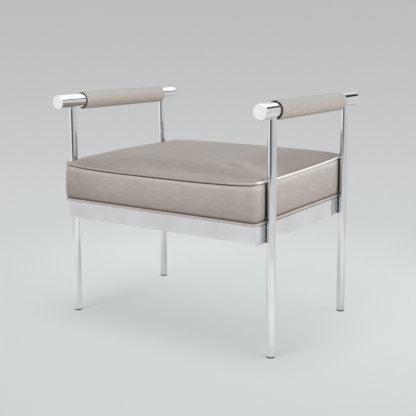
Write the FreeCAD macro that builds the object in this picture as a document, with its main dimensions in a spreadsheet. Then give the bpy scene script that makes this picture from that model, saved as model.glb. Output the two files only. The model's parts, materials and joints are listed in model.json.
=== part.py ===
import FreeCAD, Part
import math
import os
import re
import Sketcher

# Upholstered bench with two arm bars on a bright tube frame.
# Millimetres, floor at z = 0, width along X, front towards -Y, origin midway between the feet.

sizes = {
    # legs
    "leg_spacing_x": 626.0,
    "leg_spacing_y": 400.0,
    "leg_diameter": 22.2,
    "leg_wall": 1.5,
    # arm bars and their end caps
    "bar_diameter": 38.1,
    "bar_wall": 2.0,
    "bar_length": 511.0,
    "bar_height": 593.0,
    "cap_thickness": 4.0,
    "cap_spigot": 12.0,
    "cap_edge": 1.5,
    # padded sleeves on the arm bars
    "sleeve_diameter": 47.0,
    "sleeve_length": 351.0,
    "sleeve_lip_bore": 42.4,
    "sleeve_edge": 2.0,
    "sleeve_cloth": 1.6,
    "sleeve_bore_gap": 0.3,
    "sleeve_foam_setback": 5.0,
    "sleeve_end_gap": 0.6,
    # apron ring
    "apron_bottom": 281.0,
    "apron_height": 45.0,
    "apron_depth": 480.0,
    "apron_thickness": 5.0,
    "apron_corner": 10.0,
    # plates welded inside the apron's corners
    "plate_leg": 58.0,
    "plate_tip": 9.0,
    "plate_thickness": 3.0,
    # bolts that hold each leg to the apron
    "bolt_diameter": 6.0,
    "bolt_length": 18.0,
    "bolt_spacing": 22.0,
    "bolt_head_diameter": 10.5,
    "bolt_head_height": 3.3,
    "washer_diameter": 12.0,
    "washer_thickness": 1.2,
    "bolt_hole_gap": 0.3,
    "slug_length": 40.0,
    # seat screws
    "screw_diameter": 4.8,
    "screw_length": 16.0,
    "screw_head_diameter": 9.0,
    "screw_head_height": 2.6,
    "screw_inset": 21.0,
    "screw_hole_gap": 0.4,
    "pilot_depth": 13.0,
    # seat base
    "dust_thickness": 0.8,
    "board_thickness": 15.0,
    # box cushion
    "cushion_leg_gap": 2.9,
    "cushion_overhang": 10.0,
    "cushion_corner": 14.0,
    "cushion_swell": 1.7,
    "cushion_draw": 1.3,
    "cushion_cloth": 1.5,
    "cushion_turn_under": 14.0,
    "cushion_seam_height": 97.0,
    "crown_height": 21.0,
    "crown_inset": 170.0,
    "crown_fullness": 6.0,
    "crown_corner_growth": 0.2,
    "top_welt_diameter": 5.0,
    "top_welt_out": 0.9,
    "base_welt_diameter": 4.0,
    "base_welt_out": 0.4,
    "base_welt_rise": 6.0,
    # levelling glides
    "glide_height": 4.0,
    "glide_diameter": 21.4,
    "glide_edge": 1.0,
    "glide_seat_gap": 0.2,
    "stem_diameter": 8.0,
    "stem_length": 26.0,
    "stem_socket": 2.4,
    "stem_chamfer": 0.8,
    "insert_length": 20.0,
    # clearances
    "press_gap": 0.05,
    "thread_gap": 0.05,
    "soft_gap": 0.3,
}

# Places that follow from the sizes above.
places = {
    "leg_x": "leg_spacing_x / 2",
    "leg_y": "leg_spacing_y / 2",
    "leg_radius": "leg_diameter / 2",
    "leg_bore": "leg_diameter / 2 - leg_wall",
    "leg_bottom": "glide_height + glide_seat_gap",
    "bar_radius": "bar_diameter / 2",
    "bar_bore": "bar_diameter / 2 - bar_wall",
    "apron_half_x": "leg_spacing_x / 2 - leg_diameter / 2",
    "apron_half_y": "apron_depth / 2",
    "apron_inner_x": "leg_spacing_x / 2 - leg_diameter / 2 - apron_thickness",
    "apron_inner_y": "apron_depth / 2 - apron_thickness",
    "apron_inner_corner": "apron_corner - apron_thickness",
    "apron_top": "apron_bottom + apron_height",
    "bolt_middle": "apron_bottom + apron_height / 2",
    "screw_x": "leg_spacing_x / 2 - leg_diameter / 2 - apron_thickness - screw_inset",
    "screw_y": "apron_depth / 2 - apron_thickness - screw_inset",
    "cushion_half_x": "leg_spacing_x / 2 - leg_diameter / 2 - cushion_leg_gap",
    "cushion_half_y": "apron_depth / 2 + cushion_overhang",
    "cushion_bottom": "apron_bottom + apron_height + dust_thickness",
    "cushion_seam": "apron_bottom + apron_height + dust_thickness + cushion_seam_height",
    "board_bottom": "apron_bottom + apron_height + dust_thickness + cushion_cloth",
    "board_inset": "cushion_cloth + soft_gap",
    "base_welt_height": "apron_bottom + apron_height + dust_thickness + base_welt_rise",
    "sleeve_stop": "leg_spacing_y / 2 - leg_diameter / 2 - sleeve_end_gap",
}

doc = FreeCAD.newDocument("bench")
sizes_sheet = doc.addObject("Spreadsheet::Sheet", "Sizes")
places_sheet = doc.addObject("Spreadsheet::Sheet", "Places")
parts = []


def formula(text):
    """The text with each size or place name led by its sheet's name."""
    def with_sheet(match):
        name = match.group(0)
        return ("Sizes." if name in sizes else "Places.") + name
    return re.sub(r"[a-z_]+", with_sheet, text)


def fill_sheets():
    for row, (name, number) in enumerate(sizes.items(), start=1):
        sizes_sheet.set(f"A{row}", name)
        sizes_sheet.set(f"B{row}", str(number))
        sizes_sheet.setAlias(f"B{row}", name)
    doc.recompute()
    for row, (name, text) in enumerate(places.items(), start=1):
        places_sheet.set(f"A{row}", name)
        places_sheet.set(f"B{row}", "=" + formula(text))
        places_sheet.setAlias(f"B{row}", name)
    doc.recompute()


def value(name):
    sheet = sizes_sheet if name in sizes else places_sheet
    return float(sheet.get(name))


def bind(item, prop, text):
    item.setExpression(prop, formula(text))


def place(item, x="0", y="0", z="0", turn=0.0, axis=(0, 0, 1)):
    item.Placement = FreeCAD.Placement(FreeCAD.Vector(), FreeCAD.Rotation(FreeCAD.Vector(*axis), turn))
    bind(item, "Placement.Base.x", x)
    bind(item, "Placement.Base.y", y)
    bind(item, "Placement.Base.z", z)


def new_body(label):
    body = doc.addObject("PartDesign::Body", label)
    body.Label = label
    parts.append(body)
    return body


def new_sketch(body, plane):
    sketch = body.newObject("Sketcher::SketchObject", "Sketch")
    for feature in body.Origin.OriginFeatures:
        if feature.Role == plane:
            sketch.AttachmentSupport = [(feature, "")]
    sketch.MapMode = "FlatFace"
    return sketch


def drive(sketch, constraint, text):
    index = sketch.addConstraint(constraint)
    name = f"size_{index}"
    sketch.renameConstraint(index, name)
    bind(sketch, f"Constraints.{name}", text)


def circle(sketch, radius, x="0", y="0"):
    index = sketch.addGeometry(Part.Circle(), False)
    drive(sketch, Sketcher.Constraint("Radius", index, 1.0), radius)
    drive(sketch, Sketcher.Constraint("DistanceX", -1, 1, index, 3, 0.0), x)
    drive(sketch, Sketcher.Constraint("DistanceY", -1, 1, index, 3, 0.0), y)


def polygon(sketch, points):
    """A closed outline of straight lines, each corner given as two formulas."""
    first = sketch.GeometryCount
    count = len(points)
    spread = [FreeCAD.Vector(step, step * step, 0) for step in range(count + 1)]
    for step in range(count):
        sketch.addGeometry(Part.LineSegment(spread[step], spread[step + 1]), False)
    for step in range(count):
        following = first + (step + 1) % count
        sketch.addConstraint(Sketcher.Constraint("Coincident", first + step, 2, following, 1))
    for step, (x, y) in enumerate(points):
        drive(sketch, Sketcher.Constraint("DistanceX", -1, 1, first + step, 1, 0.0), x)
        drive(sketch, Sketcher.Constraint("DistanceY", -1, 1, first + step, 1, 0.0), y)


def rounded_rectangle(sketch, half_x, half_y, corner, shrink="0"):
    """A rectangle about the origin with rounded corners, drawn in by shrink all round."""
    inset = value(shrink) if shrink != "0" else 0.0
    a = value(half_x) - inset
    b = value(half_y) - inset
    r = value(corner) - inset
    first = sketch.GeometryCount
    spans = [((a - r, b), (r - a, b)), ((-a, b - r), (-a, r - b)),
             ((r - a, -b), (a - r, -b)), ((a, r - b), (a, b - r))]
    middles = [(r - a, b - r), (r - a, r - b), (a - r, r - b), (a - r, b - r)]
    quarter = math.pi / 2
    for start, end in spans:
        sketch.addGeometry(Part.LineSegment(FreeCAD.Vector(*start), FreeCAD.Vector(*end)), False)
    for step, middle in enumerate(middles):
        ring = Part.Circle(FreeCAD.Vector(*middle), FreeCAD.Vector(0, 0, 1), r)
        sketch.addGeometry(Part.ArcOfCircle(ring, quarter * (step + 1), quarter * (step + 2)), False)
    for step in range(4):
        line, arc, following = first + step, first + 4 + step, first + (step + 1) % 4
        sketch.addConstraint(Sketcher.Constraint("Horizontal" if step % 2 == 0 else "Vertical", line))
        sketch.addConstraint(Sketcher.Constraint("Tangent", line, 2, arc, 1))
        sketch.addConstraint(Sketcher.Constraint("Tangent", arc, 2, following, 1))
    for step in range(1, 4):
        sketch.addConstraint(Sketcher.Constraint("Equal", first + 4, first + 4 + step))
    drive(sketch, Sketcher.Constraint("Radius", first + 4, r), f"{corner} - {shrink}")
    drive(sketch, Sketcher.Constraint("DistanceY", -1, 1, first, 1, b), f"{half_y} - {shrink}")
    drive(sketch, Sketcher.Constraint("DistanceX", first + 1, 1, -1, 1, a), f"{half_x} - {shrink}")
    drive(sketch, Sketcher.Constraint("DistanceY", first + 2, 1, -1, 1, b), f"{half_y} - {shrink}")
    drive(sketch, Sketcher.Constraint("DistanceX", -1, 1, first + 3, 1, a), f"{half_x} - {shrink}")


def pad(body, sketch, length, side="One side"):
    feature = body.newObject("PartDesign::Pad", "Pad")
    feature.Profile = sketch
    feature.SideType = side
    bind(feature, "Length", length)
    return feature


def pocket(body, sketch, side="One side", depth=None, flip=False):
    """A cut through all, or to a depth, that has to take material away."""
    doc.recompute()
    before = body.Shape.Volume
    feature = body.newObject("PartDesign::Pocket", "Pocket")
    feature.Profile = sketch
    feature.SideType = side
    feature.Reversed = flip
    if depth is None:
        feature.Type = "ThroughAll"
    else:
        bind(feature, "Length", depth)
    doc.recompute()
    if body.Shape.Volume > before - 0.1:
        raise RuntimeError(f"the cut in {body.Label} takes nothing away")
    return feature


def revolve(body, sketch, axis):
    feature = body.newObject("PartDesign::Revolution", "Revolution")
    feature.Profile = sketch
    feature.ReferenceAxis = (sketch, [axis])
    feature.Angle = 360.0
    return feature


def round_edges(body, base, radius, chosen):
    """Fillet the edges of base whose middle the chosen test accepts."""
    doc.recompute()
    names = []
    for number, edge in enumerate(base.Shape.Edges, start=1):
        if chosen(edge):
            names.append(f"Edge{number}")
    feature = body.newObject("PartDesign::Fillet", "Fillet")
    feature.Base = (base, names)
    bind(feature, "Radius", radius)
    return feature


def ring_edge(radius, height, along):
    """A test for a full circle of this radius whose centre lies at this height along an axis."""
    def chosen(edge):
        if not isinstance(edge.Curve, Part.Circle):
            return False
        centre = edge.Curve.Center
        return abs(edge.Curve.Radius - radius) < 1e-4 and abs(centre.dot(along) - height) < 1e-4
    return chosen


up = FreeCAD.Vector(0, 0, 1)
back = FreeCAD.Vector(0, 1, 0)
sides = [("left", -1), ("right", 1)]
ends = [("front", -1), ("rear", 1)]


def at(sign, name):
    return name if sign > 0 else f"-({name})"


def corners():
    """Name, X sign and Y sign of the four corners."""
    for end, sign_y in ends:
        for side, sign_x in sides:
            yield f"{end}_{side}", sign_x, sign_y


def leg(name, sign_x, sign_y):
    """Tube leg, coped to the arm bar at its top and drilled for the apron bolts on its inner side."""
    body = new_body(f"{name}_leg")
    section = new_sketch(body, "XY_Plane")
    circle(section, "leg_radius")
    circle(section, "leg_bore")
    pad(body, section, "bar_height - leg_bottom")
    cope = new_sketch(body, "XZ_Plane")
    circle(cope, "bar_radius", "0", "bar_height - leg_bottom")
    pocket(body, cope, side="Symmetric")
    holes = new_sketch(body, "YZ_Plane")
    for sign in (-1, 1):
        height = f"bolt_middle - leg_bottom + {sign} * bolt_spacing / 2"
        circle(holes, "bolt_diameter / 2 + bolt_hole_gap", "0", height)
    pocket(body, holes)
    place(body, at(sign_x, "leg_x"), at(sign_y, "leg_y"), "leg_bottom", 0 if sign_x > 0 else 180)


def leg_slug(name, sign_x, sign_y):
    """Turned plug inside the leg that takes the apron bolts."""
    body = new_body(f"{name}_leg_slug")
    section = new_sketch(body, "XY_Plane")
    circle(section, "leg_bore - press_gap")
    pad(body, section, "slug_length", side="Symmetric")
    holes = new_sketch(body, "YZ_Plane")
    for sign in (-1, 1):
        circle(holes, "bolt_diameter / 2 + thread_gap", "0", f"{sign} * bolt_spacing / 2")
    pocket(body, holes, side="Symmetric")
    place(body, at(sign_x, "leg_x"), at(sign_y, "leg_y"), "bolt_middle")


def foot_insert(name, sign_x, sign_y):
    """Threaded bush pressed into the leg's foot."""
    body = new_body(f"{name}_foot_insert")
    section = new_sketch(body, "XY_Plane")
    circle(section, "leg_bore - press_gap")
    circle(section, "stem_diameter / 2 + thread_gap")
    pad(body, section, "insert_length")
    place(body, at(sign_x, "leg_x"), at(sign_y, "leg_y"), "leg_bottom")


def glide_pad(name, sign_x, sign_y):
    """Moulded foot with a socket for the stem."""
    body = new_body(f"{name}_glide_pad")
    profile = new_sketch(body, "XZ_Plane")
    radius = "glide_diameter / 2"
    bore = "stem_diameter / 2 + press_gap"
    polygon(profile, [("0", "0"), (radius, "0"), (radius, "glide_height"), (bore, "glide_height"),
                      (bore, "glide_height - stem_socket"), ("0", "glide_height - stem_socket")])
    foot = revolve(body, profile, "V_Axis")
    round_edges(body, foot, "glide_edge", ring_edge(value("glide_diameter") / 2, 0.0, up))
    place(body, at(sign_x, "leg_x"), at(sign_y, "leg_y"), "0")


def glide_stem(name, sign_x, sign_y):
    """Steel screw of the glide, with its upper end chamfered."""
    body = new_body(f"{name}_glide_stem")
    profile = new_sketch(body, "XZ_Plane")
    radius = "stem_diameter / 2"
    length = "stem_length + stem_socket"
    polygon(profile, [("0", "0"), (radius, "0"), (radius, f"{length} - stem_chamfer"),
                      (f"{radius} - stem_chamfer", length), ("0", length)])
    revolve(body, profile, "V_Axis")
    place(body, at(sign_x, "leg_x"), at(sign_y, "leg_y"), "glide_height - stem_socket")


def arm_bar(side, sign_x):
    """Arm tube, open at both ends for the caps."""
    body = new_body(f"{side}_arm_bar")
    section = new_sketch(body, "XZ_Plane")
    circle(section, "bar_radius")
    circle(section, "bar_bore")
    pad(body, section, "bar_length - 2 * cap_thickness", side="Symmetric")
    place(body, at(sign_x, "leg_x"), "0", "bar_height")


def bar_cap(side, sign_x, end, sign_y):
    """Flush end cap with an eased edge and a spigot inside the tube."""
    body = new_body(f"{side}_{end}_bar_cap")
    profile = new_sketch(body, "XY_Plane")
    spigot = "bar_bore - press_gap"
    depth = "cap_thickness + cap_spigot"
    polygon(profile, [("0", "0"), ("bar_radius", "0"), ("bar_radius", "cap_thickness"),
                      (spigot, "cap_thickness"), (spigot, depth), ("0", depth)])
    disc = revolve(body, profile, "V_Axis")
    round_edges(body, disc, "cap_edge", ring_edge(value("bar_radius"), 0.0, back))
    place(body, at(sign_x, "leg_x"), at(sign_y, "bar_length / 2"), "bar_height", 0 if sign_y < 0 else 180)


def sleeve_start(sign_x):
    """One sleeve lies against its rear leg and the other against its front leg, as photographed."""
    return "sleeve_stop - sleeve_length" if sign_x < 0 else "-sleeve_stop"


def sleeve_cover(side, sign_x):
    """Sewn cloth tube whose ends are drawn in to a lip round the bar."""
    body = new_body(f"{side}_sleeve_cover")
    profile = new_sketch(body, "XY_Plane")
    outer = "sleeve_diameter / 2"
    inner = "sleeve_diameter / 2 - sleeve_cloth"
    lip = "sleeve_lip_bore / 2"
    far = "sleeve_length - sleeve_cloth"
    polygon(profile, [(outer, "0"), (outer, "sleeve_length"), (lip, "sleeve_length"), (lip, far),
                      (inner, far), (inner, "sleeve_cloth"), (lip, "sleeve_cloth"), (lip, "0")])
    tube = revolve(body, profile, "V_Axis")

    def end_ring(edge):
        radius = value("sleeve_diameter") / 2
        near = ring_edge(radius, 0.0, back)
        away = ring_edge(radius, value("sleeve_length"), back)
        return near(edge) or away(edge)
    round_edges(body, tube, "sleeve_edge", end_ring)
    place(body, at(sign_x, "leg_x"), sleeve_start(sign_x), "bar_height")


def sleeve_foam(side, sign_x):
    """Foam tube between the bar and the sleeve cover, set back from the lips."""
    body = new_body(f"{side}_sleeve_foam")
    section = new_sketch(body, "XZ_Plane")
    circle(section, "sleeve_diameter / 2 - sleeve_cloth - soft_gap")
    circle(section, "bar_radius + sleeve_bore_gap")
    pad(body, section, "sleeve_length - 2 * sleeve_foam_setback", side="Symmetric")
    place(body, at(sign_x, "leg_x"), f"{sleeve_start(sign_x)} + sleeve_length / 2", "bar_height")


def seat_apron():
    """Flat bar bent into a ring with rounded corners, drilled where the legs bolt on."""
    body = new_body("seat_apron")
    section = new_sketch(body, "XY_Plane")
    rounded_rectangle(section, "apron_half_x", "apron_half_y", "apron_corner")
    rounded_rectangle(section, "apron_half_x", "apron_half_y", "apron_corner", "apron_thickness")
    pad(body, section, "apron_height")
    holes = new_sketch(body, "YZ_Plane")
    for sign_y in (-1, 1):
        for sign_z in (-1, 1):
            height = f"apron_height / 2 + {sign_z} * bolt_spacing / 2"
            circle(holes, "bolt_diameter / 2 + bolt_hole_gap", at(sign_y, "leg_y"), height)
    pocket(body, holes, side="Symmetric")
    place(body, "0", "0", "apron_bottom")


def corner_plate(name, sign_x, sign_y, turn):
    """Gusset flush with the apron's top edge, clipped clear of the bend, with a seat screw hole."""
    body = new_body(f"{name}_corner_plate")
    outline = new_sketch(body, "XY_Plane")
    clip = "apron_inner_corner"
    polygon(outline, [(clip, "0"), ("plate_leg", "0"), ("plate_leg", "plate_tip"),
                      ("plate_tip", "plate_leg"), ("0", "plate_leg"), ("0", clip)])
    circle(outline, "screw_diameter / 2 + screw_hole_gap", "screw_inset", "screw_inset")
    pad(body, outline, "plate_thickness")
    place(body, at(sign_x, "apron_inner_x"), at(sign_y, "apron_inner_y"), "apron_top - plate_thickness", turn)


def screw_holes(sketch, radius):
    for name, sign_x, sign_y in corners():
        circle(sketch, radius, at(sign_x, "screw_x"), at(sign_y, "screw_y"))


def dust_cover():
    """Thin sheet that closes the seat from below."""
    body = new_body("dust_cover")
    outline = new_sketch(body, "XY_Plane")
    rounded_rectangle(outline, "cushion_half_x", "cushion_half_y", "cushion_corner", "board_inset")
    screw_holes(outline, "screw_diameter / 2 + screw_hole_gap")
    pad(body, outline, "dust_thickness")
    place(body, "0", "0", "apron_top")


def seat_board():
    """Plywood base of the cushion, with pilot holes for the seat screws."""
    body = new_body("seat_board")
    outline = new_sketch(body, "XY_Plane")
    rounded_rectangle(outline, "cushion_half_x", "cushion_half_y", "cushion_corner", "board_inset")
    pad(body, outline, "board_thickness")
    holes = new_sketch(body, "XY_Plane")
    screw_holes(holes, "screw_diameter / 2 + thread_gap")
    pocket(body, holes, depth="pilot_depth", flip=True)
    place(body, "0", "0", "board_bottom")


def headed_pin(name, head_radius, head_height, shank_radius, shank_length):
    """Screw with its head below the origin and its shank along +Z."""
    head = doc.addObject("Part::Cylinder", f"{name}_head")
    bind(head, "Radius", head_radius)
    bind(head, "Height", head_height)
    bind(head, "Placement.Base.z", f"-({head_height})")
    shank = doc.addObject("Part::Cylinder", f"{name}_shank")
    bind(shank, "Radius", shank_radius)
    bind(shank, "Height", shank_length)
    pin = doc.addObject("Part::Fuse", name)
    pin.Base = head
    pin.Tool = shank
    return pin


def group(label, members):
    """One sub-part of several identical separate pieces."""
    item = doc.addObject("Part::Compound", label)
    item.Label = label
    item.Links = members
    parts.append(item)


def leg_fasteners():
    """Bolts through the apron into each leg's slug, with a washer under each head."""
    bolts = []
    washers = []
    for name, sign_x, sign_y in corners():
        for sign_z in (-1, 1):
            turn = 90 * sign_x
            height = f"bolt_middle + {sign_z} * bolt_spacing / 2"
            bolt = headed_pin(f"{name}_bolt", "bolt_head_diameter / 2", "bolt_head_height",
                              "bolt_diameter / 2", "bolt_length")
            seat = at(sign_x, "apron_inner_x - washer_thickness")
            place(bolt, seat, at(sign_y, "leg_y"), height, turn, (0, 1, 0))
            bolts.append(bolt)
            disc = doc.addObject("Part::Cylinder", f"{name}_washer_disc")
            bind(disc, "Radius", "washer_diameter / 2")
            bind(disc, "Height", "washer_thickness")
            hole = doc.addObject("Part::Cylinder", f"{name}_washer_hole")
            bind(hole, "Radius", "bolt_diameter / 2 + bolt_hole_gap")
            bind(hole, "Height", "washer_thickness")
            washer = doc.addObject("Part::Cut", f"{name}_washer")
            washer.Base = disc
            washer.Tool = hole
            place(washer, seat, at(sign_y, "leg_y"), height, turn, (0, 1, 0))
            washers.append(washer)
    group("leg_bolts", bolts)
    group("leg_washers", washers)


def seat_screws():
    """Screws up through the corner plates into the seat board."""
    screws = []
    for name, sign_x, sign_y in corners():
        screw = headed_pin(f"{name}_screw", "screw_head_diameter / 2", "screw_head_height",
                           "screw_diameter / 2", "screw_length")
        place(screw, at(sign_x, "screw_x"), at(sign_y, "screw_y"), "apron_top - plate_thickness")
        screws.append(screw)
    group("seat_screws", screws)


def outline_wire(inset, z, corner):
    """Rounded rectangle of the cushion's plan at one height, as lines and quarter arcs."""
    a = value("cushion_half_x") - inset
    b = value("cushion_half_y") - inset
    k = corner * (1 - 0.5 ** 0.5)
    point = [FreeCAD.Vector(x, y, z) for x, y in (
        (corner - a, -b), (a - corner, -b), (a - k, k - b), (a, corner - b), (a, b - corner),
        (a - k, b - k), (a - corner, b), (corner - a, b), (k - a, b - k), (-a, b - corner),
        (-a, corner - b), (k - a, k - b))]
    edges = []
    for start in range(0, 12, 3):
        edges.append(Part.LineSegment(point[start], point[start + 1]).toShape())
        following = point[(start + 3) % 12]
        edges.append(Part.Arc(point[start + 1], point[start + 2], following).toShape())
    return Part.Wire(edges)


def cushion_sides(inset, bottom, top):
    """Band of the cushion: it swells at mid height and is drawn in at the top seam."""
    corner = value("cushion_corner") - inset
    middle = (bottom + top) / 2
    wires = [outline_wire(inset, bottom, corner),
             outline_wire(inset - value("cushion_swell"), middle, corner),
             outline_wire(inset + value("cushion_draw"), top, corner)]
    return Part.makeLoft(wires, True, False)


def cushion_crown(inset):
    """Pillowed top from the seam up: steep at the edge, nearly level over the middle."""
    edge = inset + value("cushion_draw")
    corner = value("cushion_corner") - inset
    wires = []
    for share in (0.0, 0.04, 0.1, 0.2, 0.4, 0.7, 1.0):
        rise = value("crown_height") * (1 - (1 - share) ** value("crown_fullness"))
        in_from_edge = share * value("crown_inset")
        height = value("cushion_seam") - inset + rise
        rounder = corner + value("crown_corner_growth") * in_from_edge
        wires.append(outline_wire(edge + in_from_edge, height, rounder))
    return Part.makeLoft(wires, True, False)


def welt_tube(draw, out, height, radius):
    """Round cord once round the cushion's plan."""
    inset = draw - out
    path = outline_wire(inset, height, value("cushion_corner") - inset)
    start = path.Vertexes[0].Point
    ring = Part.Wire(Part.Circle(start, FreeCAD.Vector(1, 0, 0), radius).toShape())
    return path.makePipeShell([ring], True, False)


def soft_part(label, shape):
    item = doc.addObject("Part::Feature", label)
    item.Label = label
    item.Shape = shape
    item.Placement = FreeCAD.Placement()
    parts.append(item)


def cushion():
    """Foam block on the board inside a sewn cover: top panel, boxing, under border and two welts."""
    cloth = value("cushion_cloth")
    gap = value("soft_gap")
    bottom = value("cushion_bottom")
    seam = value("cushion_seam")
    base_seam = value("base_welt_height")
    reach_x = value("cushion_half_x") + value("cushion_swell") + cloth
    reach_y = value("cushion_half_y") + value("cushion_swell") + cloth

    top_cord = (value("cushion_draw"), value("top_welt_out"), seam, value("top_welt_diameter") / 2)
    base_cord = (0.0, value("base_welt_out"), base_seam, value("base_welt_diameter") / 2)
    soft_part("top_welt", welt_tube(*top_cord))
    soft_part("base_welt", welt_tube(*base_cord))
    top_room = welt_tube(*top_cord[:3], top_cord[3] + gap / 2)
    base_room = welt_tube(*base_cord[:3], base_cord[3] + gap / 2)

    soft_part("seat_top_panel", cushion_crown(0.0).cut(cushion_crown(cloth)).cut(top_room))

    band = cushion_sides(0.0, bottom, seam).cut(cushion_sides(cloth, bottom, seam))
    low_corner = FreeCAD.Vector(-reach_x, -reach_y, bottom)
    below = Part.makeBox(2 * reach_x, 2 * reach_y, base_seam - bottom, low_corner)
    soft_part("seat_boxing", band.cut(below).cut(top_room).cut(base_room))

    turned = value("cushion_turn_under")
    floor = Part.Face(outline_wire(cloth / 2, bottom, value("cushion_corner") - cloth / 2))
    floor = floor.cut(Part.Face(outline_wire(turned, bottom, value("cushion_corner"))))
    flange = floor.extrude(FreeCAD.Vector(0, 0, cloth))
    border = band.common(below).fuse(flange).removeSplitter()
    soft_part("seat_under_border", border.cut(base_room))

    inset = cloth + gap
    board_top = value("board_bottom") + value("board_thickness")
    block = cushion_sides(inset, board_top, seam - inset).fuse(cushion_crown(inset))
    soft_part("seat_foam", block.removeSplitter())


def build():
    fill_sheets()
    for name, sign_x, sign_y in corners():
        for make in (leg, leg_slug, foot_insert, glide_pad, glide_stem):
            make(name, sign_x, sign_y)
    for side, sign_x in sides:
        arm_bar(side, sign_x)
        for end, sign_y in ends:
            bar_cap(side, sign_x, end, sign_y)
        sleeve_cover(side, sign_x)
        sleeve_foam(side, sign_x)
    seat_apron()
    turns = {(-1, -1): 0, (1, -1): 90, (1, 1): 180, (-1, 1): 270}
    for name, sign_x, sign_y in corners():
        corner_plate(name, sign_x, sign_y, turns[sign_x, sign_y])
    leg_fasteners()
    seat_screws()
    dust_cover()
    seat_board()
    doc.recompute()
    cushion()
    doc.recompute()


def check():
    for item in doc.Objects:
        if "Invalid" in item.State or "Error" in item.State:
            raise RuntimeError(f"{item.Label} failed: {item.State}")
    for part in parts:
        if part.Shape.isNull() or not part.Shape.isValid():
            raise RuntimeError(f"{part.Label} has no valid shape")


def write():
    os.makedirs("parts", exist_ok=True)
    for part in parts:
        part.Shape.exportStep(f"parts/{part.Label}.step")
    print(len(parts), "sub-parts written")


build()
check()
write()
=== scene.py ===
import bpy
import bmesh
import json
import math
from mathutils import Matrix, Vector, noise


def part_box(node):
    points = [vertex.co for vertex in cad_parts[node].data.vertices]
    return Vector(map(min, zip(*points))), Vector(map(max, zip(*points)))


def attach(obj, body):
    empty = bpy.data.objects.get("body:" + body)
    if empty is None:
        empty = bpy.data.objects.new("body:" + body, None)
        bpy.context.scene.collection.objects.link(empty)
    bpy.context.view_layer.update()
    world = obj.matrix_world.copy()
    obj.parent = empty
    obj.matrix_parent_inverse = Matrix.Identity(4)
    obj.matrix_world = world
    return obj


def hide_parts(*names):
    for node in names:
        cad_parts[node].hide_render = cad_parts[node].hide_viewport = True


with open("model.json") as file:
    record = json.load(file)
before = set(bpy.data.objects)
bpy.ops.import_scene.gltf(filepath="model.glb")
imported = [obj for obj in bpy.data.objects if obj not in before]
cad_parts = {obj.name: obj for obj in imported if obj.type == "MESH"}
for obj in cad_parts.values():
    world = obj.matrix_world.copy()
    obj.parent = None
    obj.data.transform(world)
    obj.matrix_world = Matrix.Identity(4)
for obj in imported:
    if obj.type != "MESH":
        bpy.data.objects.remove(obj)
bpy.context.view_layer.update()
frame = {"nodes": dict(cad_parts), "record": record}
scene = bpy.context.scene
print("frame loaded:", len(frame["nodes"]), "nodes")

corners = [("front_left", -1, -1), ("front_right", 1, -1), ("rear_left", -1, 1), ("rear_right", 1, 1)]
sides = [("left", -1), ("right", 1)]
fullTurn = 2 * math.pi

# places and sizes that several pieces share
feet = {mount["name"]: mount["pos_m"] for mount in frame["record"]["mounts"]}
legX, legY = feet["rear_right_foot"][:2]
legRadius = 0.0111
barLow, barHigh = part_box("right_arm_bar")
barHeight = (barLow.z + barHigh.z) / 2
barRadius = (barHigh.z - barLow.z) / 2
seatX, seatY = 0.2992, 0.2505


# node trees

class Value:
    # one output of a node; where it is a number it can be added, multiplied and spread
    def __init__(self, node, output=0):
        self.tree = node.id_data
        self.socket = node.outputs[output]

    def calc(self, operation, *others):
        values = dict(enumerate((self, *others)))
        return Value(addNode(self.tree, "ShaderNodeMath", values, operation=operation))

    def __add__(self, other):
        return self.calc("ADD", other)

    def __sub__(self, other):
        return self.calc("SUBTRACT", other)

    def __mul__(self, other):
        return self.calc("MULTIPLY", other)

    def __abs__(self):
        return self.calc("ABSOLUTE")

    def spread(self, low, high, toLow=0.0, toHigh=1.0, kind="SMOOTHSTEP"):
        # low to high becomes toLow to toHigh, level beyond both
        ends = {"Value": self, "From Min": low, "From Max": high, "To Min": toLow, "To Max": toHigh}
        return Value(addNode(self.tree, "ShaderNodeMapRange", ends, interpolation_type=kind))

    def mix(self, first, second):
        return self.spread(0.0, 1.0, first, second, "LINEAR")

    def band(self, start, end):
        # 1 between two soft edges, 0 outside them
        return self.spread(*start) * self.spread(*end, 1.0, 0.0)

    def axes(self):
        parts = addNode(self.tree, "ShaderNodeSeparateXYZ", {0: self})
        return [Value(parts, axis) for axis in range(3)]


def feed(node, inputs):
    # an input takes a value, the first output of a node, or a constant
    for key, item in inputs.items():
        socket = node.inputs[key]
        if isinstance(item, bpy.types.Node):
            item = Value(item)
        if isinstance(item, Value):
            item.tree.links.new(item.socket, socket)
        else:
            socket.default_value = (*item, 1.0) if socket.type == "RGBA" else item


def addNode(tree, kind, inputs=None, **settings):
    node = tree.nodes.new(kind)
    for key, value in settings.items():
        setattr(node, key, value)
    feed(node, inputs or {})
    return node


def blend(share, first, second, mode="MIX"):
    # sockets 0, 6 and 7 are a colour mix's share and colours, and 2 is the result
    tree = next(item.tree for item in (share, first, second) if isinstance(item, Value))
    inputs = {0: share, 6: first, 7: second}
    return Value(addNode(tree, "ShaderNodeMix", inputs, data_type="RGBA", blend_type=mode), 2)


def blendShader(share, first, second):
    return addNode(share.tree, "ShaderNodeMixShader", {0: share, 1: first, 2: second})


def joinColour(*channels):
    return Value(addNode(channels[0].tree, "ShaderNodeCombineColor", dict(enumerate(channels))))


def grainNoise(place, scale, detail, rough, stretch=None):
    if stretch:
        place = Value(addNode(place.tree, "ShaderNodeMapping", {"Vector": place, "Scale": stretch}))
    inputs = {"Vector": place, "Scale": scale, "Detail": detail, "Roughness": rough}
    return Value(addNode(place.tree, "ShaderNodeTexNoise", inputs))


def cellNoise(place, scale, feature="F1"):
    cells = addNode(place.tree, "ShaderNodeTexVoronoi", {"Vector": place, "Scale": scale}, feature=feature)
    return Value(cells, "Distance")


def bumpFrom(height, strength, distance):
    inputs = {"Strength": strength, "Distance": distance, "Height": height}
    return addNode(height.tree, "ShaderNodeBump", inputs)


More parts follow.
